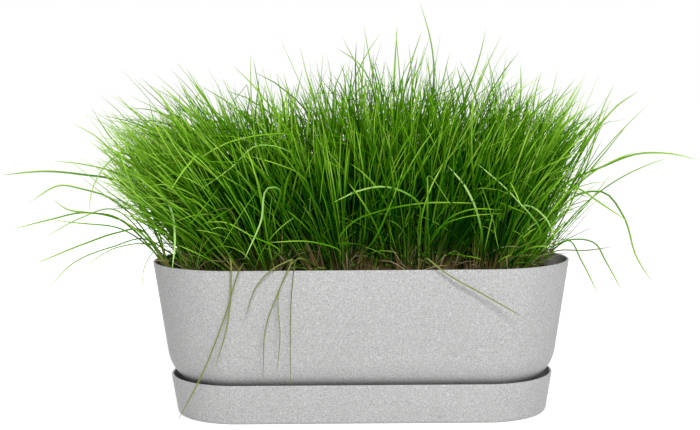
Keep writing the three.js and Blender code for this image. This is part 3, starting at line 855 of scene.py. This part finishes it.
# Long loose blades. Their places were read, to 5 mm, from the same grid. Each has its plant, the
# depth that it lies at, its width, its tone, and the (x, z) where it shows on the middle plane.
# Tones above 0.9 take the grass material's painted highlight.
strays = [
    # Out to the left
    (1, -0.020, 0.0028, 0.70, [(-0.350, 0.335), (-0.400, 0.345), (-0.450, 0.350), (-0.520, 0.345)]),
    (1, -0.030, 0.0026, 0.75, [(-0.340, 0.340), (-0.400, 0.360), (-0.445, 0.365)]),
    (2, 0.020, 0.0028, 0.85, [(-0.345, 0.365), (-0.380, 0.400), (-0.415, 0.420)]),
    (1, -0.050, 0.0025, 0.85, [(-0.360, 0.310), (-0.405, 0.325), (-0.430, 0.330), (-0.480, 0.305)]),
    (1, -0.040, 0.0026, 0.75, [(-0.360, 0.285), (-0.395, 0.290), (-0.425, 0.295), (-0.445, 0.310)]),
    (1, -0.020, 0.0026, 0.80, [(-0.350, 0.280), (-0.400, 0.290), (-0.450, 0.280), (-0.510, 0.265)]),
    (1, -0.030, 0.0022, 0.88, [(-0.345, 0.265), (-0.410, 0.275), (-0.450, 0.280)]),
    (1, -0.050, 0.0018, 0.88, [(-0.360, 0.295), (-0.410, 0.280), (-0.465, 0.250)]),
    (1, -0.050, 0.0025, 0.85, [(-0.320, 0.265), (-0.355, 0.260), (-0.400, 0.245), (-0.475, 0.215)]),
    (1, -0.040, 0.0020, 0.85, [(-0.300, 0.240), (-0.350, 0.240), (-0.405, 0.210)]),
    (1, -0.030, 0.0018, 0.88, [(-0.310, 0.250), (-0.360, 0.240), (-0.420, 0.215), (-0.455, 0.180)]),
    (1, -0.030, 0.0018, 0.85, [(-0.290, 0.240), (-0.310, 0.220), (-0.320, 0.170)]),
    (1, -0.060, 0.0024, 0.88, [(-0.345, 0.375), (-0.360, 0.365), (-0.385, 0.330), (-0.395, 0.270)]),
    (1, -0.105, 0.0030, 1.00, [(-0.285, 0.315), (-0.275, 0.295), (-0.270, 0.250), (-0.275, 0.205)]),
    # Out to the right
    (9, -0.020, 0.0030, 0.80, [(0.300, 0.330), (0.345, 0.350), (0.400, 0.370), (0.445, 0.370),
                               (0.490, 0.360)]),
    (9, -0.030, 0.0021, 0.85, [(0.345, 0.350), (0.375, 0.365), (0.400, 0.375)]),
    (10, 0.040, 0.0018, 0.88, [(0.345, 0.315), (0.375, 0.335), (0.405, 0.350), (0.445, 0.365)]),
    (9, -0.060, 0.0027, 0.85, [(0.285, 0.330), (0.315, 0.320), (0.345, 0.300), (0.390, 0.270)]),
    (9, -0.050, 0.0026, 0.80, [(0.325, 0.315), (0.350, 0.315), (0.380, 0.280), (0.400, 0.220),
                               (0.425, 0.180)]),
    (9, -0.060, 0.0021, 0.80, [(0.285, 0.240), (0.300, 0.245), (0.320, 0.215), (0.345, 0.165)]),
    (10, 0.000, 0.0022, 0.80, [(0.300, 0.245), (0.340, 0.240), (0.355, 0.215), (0.380, 0.170)]),
    (9, -0.040, 0.0018, 0.08, [(0.285, 0.230), (0.325, 0.230), (0.365, 0.235)]),
    # Above the mass
    (2, 0.000, 0.0020, 0.55, [(-0.270, 0.435), (-0.285, 0.455), (-0.315, 0.485)]),
    (2, 0.040, 0.0022, 0.60, [(-0.360, 0.400), (-0.385, 0.440)]),
    (2, 0.020, 0.0022, 0.60, [(-0.310, 0.420), (-0.330, 0.440), (-0.350, 0.460)]),
    (2, 0.000, 0.0024, 0.55, [(-0.215, 0.440), (-0.230, 0.465), (-0.250, 0.500)]),
    (3, 0.000, 0.0024, 0.45, [(-0.225, 0.435), (-0.235, 0.455), (-0.220, 0.470)]),
    (4, 0.030, 0.0023, 0.60, [(-0.140, 0.440), (-0.145, 0.465), (-0.150, 0.500)]),
    (4, 0.030, 0.0023, 0.65, [(-0.110, 0.445), (-0.120, 0.490)]),
    (4, 0.000, 0.0023, 0.60, [(-0.100, 0.450), (-0.110, 0.490)]),
    (4, 0.000, 0.0024, 0.50, [(-0.065, 0.450), (-0.075, 0.485)]),
    (5, 0.000, 0.0024, 0.45, [(-0.035, 0.470), (-0.020, 0.505)]),
    (5, -0.020, 0.0022, 0.50, [(0.020, 0.460), (0.000, 0.500), (-0.035, 0.525)]),
    (4, 0.030, 0.0020, 0.70, [(0.000, 0.490), (-0.015, 0.520), (-0.025, 0.540)]),
    (5, -0.020, 0.0023, 0.60, [(0.025, 0.465), (0.015, 0.505), (0.005, 0.560)]),
    (6, 0.020, 0.0020, 0.70, [(-0.010, 0.470), (0.010, 0.515), (0.030, 0.545)]),
    (6, 0.020, 0.0020, 0.60, [(0.075, 0.470), (0.070, 0.530)]),
    (6, 0.000, 0.0020, 0.50, [(0.060, 0.480), (0.080, 0.520)]),
    (6, 0.000, 0.0024, 0.60, [(0.105, 0.465), (0.105, 0.510), (0.100, 0.540), (0.085, 0.590)]),
    (8, 0.000, 0.0022, 0.60, [(0.150, 0.450), (0.165, 0.490), (0.175, 0.525), (0.180, 0.550)]),
    (8, 0.030, 0.0020, 0.50, [(0.195, 0.455), (0.185, 0.505)]),
    (8, 0.000, 0.0018, 0.60, [(0.195, 0.450), (0.205, 0.485), (0.210, 0.515)]),
    (8, 0.020, 0.0028, 0.65, [(0.230, 0.450), (0.230, 0.500)]),
    (10, 0.030, 0.0022, 0.60, [(0.250, 0.450), (0.260, 0.490)]),
    (10, 0.000, 0.0022, 0.55, [(0.265, 0.420), (0.290, 0.455), (0.310, 0.480)]),
    (9, -0.020, 0.0022, 0.60, [(0.340, 0.410), (0.350, 0.440), (0.365, 0.470)]),
    (10, 0.030, 0.0026, 0.65, [(0.340, 0.405), (0.370, 0.440), (0.400, 0.460)]),
    # Hanging over the rim in front
    (1, -0.132, 0.0022, 0.08, [(-0.190, 0.220), (-0.190, 0.180), (-0.195, 0.130), (-0.215, 0.060)]),
    (3, -0.134, 0.0022, 0.08, [(-0.170, 0.215), (-0.200, 0.135), (-0.230, 0.060), (-0.275, -0.025)]),
    (3, -0.134, 0.0020, 0.08, [(-0.100, 0.220), (-0.130, 0.205), (-0.150, 0.185), (-0.170, 0.135)]),
    (3, -0.134, 0.0020, 0.08, [(-0.100, 0.220), (-0.120, 0.175), (-0.140, 0.120), (-0.145, 0.045)]),
    (5, -0.132, 0.0025, 0.08, [(-0.095, 0.220), (-0.120, 0.175), (-0.120, 0.105), (-0.125, 0.050)]),
    (5, -0.134, 0.0022, 0.08, [(-0.095, 0.220), (-0.100, 0.190), (-0.105, 0.100), (-0.105, 0.025)]),
    (7, -0.134, 0.0022, 0.08, [(0.095, 0.220), (0.120, 0.200), (0.180, 0.165), (0.240, 0.130)]),
    # In front of the mass
    (3, -0.140, 0.0026, 0.98, [(-0.125, 0.325), (-0.130, 0.325), (-0.145, 0.275), (-0.170, 0.220)]),
    (5, -0.140, 0.0020, 0.95, [(-0.110, 0.380), (-0.150, 0.385), (-0.185, 0.355), (-0.235, 0.320)]),
    (3, -0.140, 0.0019, 0.90, [(-0.100, 0.400), (-0.145, 0.400), (-0.190, 0.390), (-0.245, 0.360)]),
    (5, -0.140, 0.0019, 0.75, [(-0.090, 0.345), (-0.125, 0.360), (-0.160, 0.370)]),
    (3, -0.140, 0.0020, 0.60, [(-0.165, 0.320), (-0.195, 0.340), (-0.225, 0.360)]),
    (3, -0.140, 0.0020, 0.70, [(-0.220, 0.300), (-0.265, 0.325), (-0.290, 0.330), (-0.310, 0.325)]),
    (3, -0.140, 0.0022, 0.85, [(-0.120, 0.235), (-0.160, 0.255), (-0.200, 0.275), (-0.225, 0.275)]),
    (3, -0.140, 0.0018, 0.08, [(-0.200, 0.295), (-0.215, 0.290), (-0.225, 0.280)]),
    (5, -0.140, 0.0022, 0.80, [(-0.035, 0.235), (-0.070, 0.245), (-0.135, 0.245)]),
    (7, -0.140, 0.0024, 0.95, [(0.080, 0.305), (0.055, 0.320), (0.030, 0.325), (0.000, 0.320),
                               (-0.045, 0.300)]),
    (5, -0.140, 0.0021, 0.65, [(-0.030, 0.255), (-0.010, 0.275), (0.030, 0.290), (0.085, 0.300),
                               (0.170, 0.300)]),
    (5, -0.140, 0.0018, 0.60, [(0.020, 0.250), (0.045, 0.305), (0.065, 0.360)]),
    (7, -0.140, 0.0022, 0.90, [(0.090, 0.290), (0.100, 0.320), (0.120, 0.360)]),
    (7, -0.140, 0.0018, 0.85, [(0.100, 0.340), (0.125, 0.305), (0.135, 0.290)]),
    (9, -0.130, 0.0028, 1.00, [(0.175, 0.255), (0.165, 0.295), (0.150, 0.325), (0.125, 0.355)]),
    (7, -0.140, 0.0021, 0.50, [(0.105, 0.250), (0.130, 0.280), (0.155, 0.290), (0.205, 0.290)]),
    (7, -0.140, 0.0019, 0.60, [(0.120, 0.270), (0.150, 0.280), (0.205, 0.285)]),
    (9, -0.140, 0.0022, 0.97, [(0.260, 0.255), (0.220, 0.310), (0.165, 0.360)]),
    (9, -0.110, 0.0024, 0.97, [(0.200, 0.275), (0.225, 0.295), (0.245, 0.295), (0.265, 0.280),
                               (0.285, 0.240)]),
]


def placed_at(depth, places):
    """Places that show on the trough's middle plane, moved along the camera's rays to a depth."""
    nearer = camera_distance / (camera_distance + depth)
    return np.array([(x / nearer, depth, camera_height + (z - camera_height) / nearer) for x, z in places])


def smooth_path(points, segments):
    """A smooth curve through the points, as evenly spaced places on it."""
    points = np.array(points)
    steps = np.linalg.norm(np.diff(points, axis=0), axis=1)
    places = np.append(0, np.cumsum(steps))
    slopes = np.gradient(points, places, axis=0)
    wanted = np.linspace(0, places[-1], segments + 1)
    left = np.clip(np.searchsorted(places, wanted, side="right") - 1, 0, len(steps) - 1)
    span = steps[left][:, None]
    t = (wanted - places[left])[:, None] / span
    start, end = points[left], points[left + 1]
    return (
        (2 * t**3 - 3 * t**2 + 1) * start
        + (t**3 - 2 * t**2 + t) * span * slopes[left]
        + (3 * t**2 - 2 * t**3) * end
        + (t**3 - t**2) * span * slopes[left + 1]
    )


def stray_paths(random, number, centre):
    """Paths, widths and tones of a plant's placed blades."""
    paths = []
    widths = []
    tones = []
    for plant, depth, width, tone, places in strays:
        if plant != number:
            continue
        seen = placed_at(depth, places)
        side = normalised(seen[0, :2] - centre + random.normal(0, 0.02, 2))
        root = np.array([*(centre + stray_reach * side), soil_level - root_depth])
        rise = (seen[0] - root) * (0.45, 0.4, 0.6)
        paths.append(smooth_path([root, root + rise, *seen], stray_segments))
        widths.append(width)
        tones.append(tone)
    return np.array(paths), np.array(widths), np.array(tones)


def set_strand_map(obj, along, tone):
    """A UV map with the share along a strand as u and its tone, spread a little across it, as v."""
    spread = np.tile([-0.003, 0.003, 0.0], len(along) // 3 + 1)[: len(along)]
    layer = obj.data.uv_layers.new(name="OFBake")
    corners = np.empty(len(obj.data.loops), dtype=np.int32)
    obj.data.loops.foreach_get("vertex_index", corners)
    flat = np.column_stack([along, np.clip(tone + spread, 0.001, 0.999)])[corners]
    layer.data.foreach_set("uv", flat.astype(np.float32).ravel())


def make_tuft(number, node, centre, material):
    """All blades of one plant: the mass, the dead stalks and the placed long blades."""
    random = np.random.default_rng(100 + number)
    groups = []
    for paths, tone, mean_width, wanted in (
        (*blade_paths(random, centre, 3 * blades_per_plant), blade_width, blades_per_plant),
        (
            thin_paths(random, centre, 2 * thin_blades_per_plant, 26, 45, 0.02, 0.11),
            random.uniform(0.1, 0.9, 2 * thin_blades_per_plant),
            0.0012,
            thin_blades_per_plant,
        ),
        (thin_paths(random, centre, 160, 32, 45, 0.015, 0.06), random.uniform(0.02, 0.06, 160), 0.0012, 80),
    ):
        root_x, root_y = paths[:, 0, :2].T
        rooted = (inset_at(root_x, root_y) > 0.015) & (root_x > left_roots_end) & (root_x < right_roots_end)
        within = beyond_canopy(paths) < 0.05
        keep = np.flatnonzero(rooted & within & clear_of_pot(paths))[:wanted]
        width = mean_width * np.clip(random.lognormal(0, 0.25, len(keep)), 0.6, 1.5)
        groups.append((paths[keep], tone[keep], width, 180, 60))
    long_paths, long_width, long_tone = stray_paths(random, number, centre)
    if len(long_paths):
        groups.append((long_paths, long_tone, long_width, 30, 25))
    parts = []
    along = []
    tones = []
    for group_paths, group_tone, group_width, roll_range, twist_range in groups:
        size = len(group_paths)
        roll = np.radians(random.uniform(-roll_range, roll_range, size))
        twist = np.radians(random.uniform(-twist_range, twist_range, size))
        points, faces, shares, per_strand = strand_mesh(group_paths, group_width, roll, twist)
        parts.append((points, faces))
        along.append(shares)
        tones.append(np.repeat(group_tone, per_strand))
    tuft = new_object(f"grass_tuft_{number:02d}", *join_meshes(parts))
    along = np.concatenate(along)
    tones = np.concatenate(tones)
    set_attribute(tuft, "along", along)
    set_attribute(tuft, "tone", tones)
    set_strand_map(tuft, along, tones)
    smooth(tuft, 75)
    finish_piece(tuft, material, "grass", "planting", node)


# Camera, light and floor


def make_camera():
    """The photograph's own view, fitted to the edges of the pot and the saucer."""
    image_width = 700
    focal_pixels = 1261.975
    centre_pixel = 360.822  # where the lens's axis meets the photograph, across
    yaw = 0.002774
    pitch = 0.098269
    roll = -0.006233
    data = bpy.data.cameras.new("camera")
    data.sensor_width = 36
    data.lens = focal_pixels * data.sensor_width / image_width
    data.shift_x = -(centre_pixel - image_width / 2) / image_width
    data.clip_start = 0.05
    data.clip_end = 100
    camera = bpy.data.objects.new("camera", data)
    camera.location = (-camera_distance * math.sin(yaw), -camera_distance * math.cos(yaw), camera_height)
    turn = Euler((0, 0, -yaw)).to_matrix() @ Euler((math.pi / 2 - pitch, 0, 0)).to_matrix()
    camera.rotation_euler = (turn @ Euler((0, 0, roll)).to_matrix()).to_euler()
    bpy.context.scene.collection.objects.link(camera)
    bpy.context.scene.camera = camera


def add_area_light(name, place, target, size, energy):
    data = bpy.data.lights.new(name, "AREA")
    data.shape = "DISK"
    data.size = size
    data.energy = energy
    light = bpy.data.objects.new(name, data)
    light.location = place
    light.rotation_euler = (Vector(target) - Vector(place)).to_track_quat("-Z", "Y").to_euler()
    bpy.context.scene.collection.objects.link(light)


def seen_rays(tree):
    """1 for rays that show the background: from the camera, and through gloss or glass."""
    paths = add_node(tree, "ShaderNodeLightPath")
    total = paths.outputs["Is Camera Ray"]
    for name in ("Is Glossy Ray", "Is Transmission Ray"):
        rays = {0: total, 1: paths.outputs[name]}
        total = add_node(tree, "ShaderNodeMath", rays, use_clamp=True).outputs[0]
    return total


def make_world():
    """A soft grey dome, which is seen as white."""
    world = bpy.data.worlds.new("world")
    bpy.context.scene.world = world
    world.use_nodes = True
    tree = world.node_tree
    background = tree.nodes["Background"]
    dome = 0.27
    background.inputs["Color"].default_value = (1, 1, 1, 1)
    strength = add_node(
        tree,
        "ShaderNodeMapRange",
        {"Value": seen_rays(tree), "To Min": dome, "To Max": 1.0},
    )
    tree.links.new(strength.outputs["Result"], background.inputs["Strength"])


def make_floor():
    """A wide pale floor that keeps the planter's shadow and is seen as white elsewhere."""
    size = 30
    corners = [(-size, -size, 0), (size, -size, 0), (size, size, 0), (-size, size, 0)]
    floor = new_object("floor", np.array(corners), [(0, 1, 2, 3)])
    material, tree, shader = new_material("floor", roughness=1.0, specular=0.0)
    shader.inputs["Base Color"].default_value = (0.85, 0.85, 0.85, 1)
    shader.inputs["Emission Color"].default_value = (1, 1, 1, 1)
    place = add_node(tree, "ShaderNodeTexCoord").outputs["Object"]
    distance = add_node(tree, "ShaderNodeVectorMath", {0: place}, operation="LENGTH").outputs["Value"]
    glow = add_node(
        tree,
        "ShaderNodeMapRange",
        {"Value": distance, "From Min": 1.8, "From Max": 4.0, "To Min": 0.62, "To Max": 0.8},
    )
    seen_glow = add_node(
        tree, "ShaderNodeMath", {0: seen_rays(tree), 1: glow.outputs["Result"]}, operation="MULTIPLY"
    )
    tree.links.new(seen_glow.outputs[0], shader.inputs["Emission Strength"])
    floor.data.materials.append(material)


def make_stage():
    bpy.context.scene.view_settings.view_transform = "Standard"
    make_camera()
    make_world()
    make_floor()
    middle = (0, 0, 0.2)
    add_area_light("key", (0.53, -2.75, 1.95), middle, 1.2, 76)
    add_area_light("back", (-0.9, 2.6, 1.9), middle, 1.2, 30)


plastic = plastic_material()
grass = grass_material()
crown = crown_material()
make_stage()
make_saucer(plastic)
make_pot(plastic)
make_soil(soil_material())
make_crumbs(crumb_material())
for index, (node, centre) in enumerate(zip(plant_nodes, plants)):
    make_root_ball(index + 1, centre, crown)
    make_tuft(index + 1, node, centre, grass)
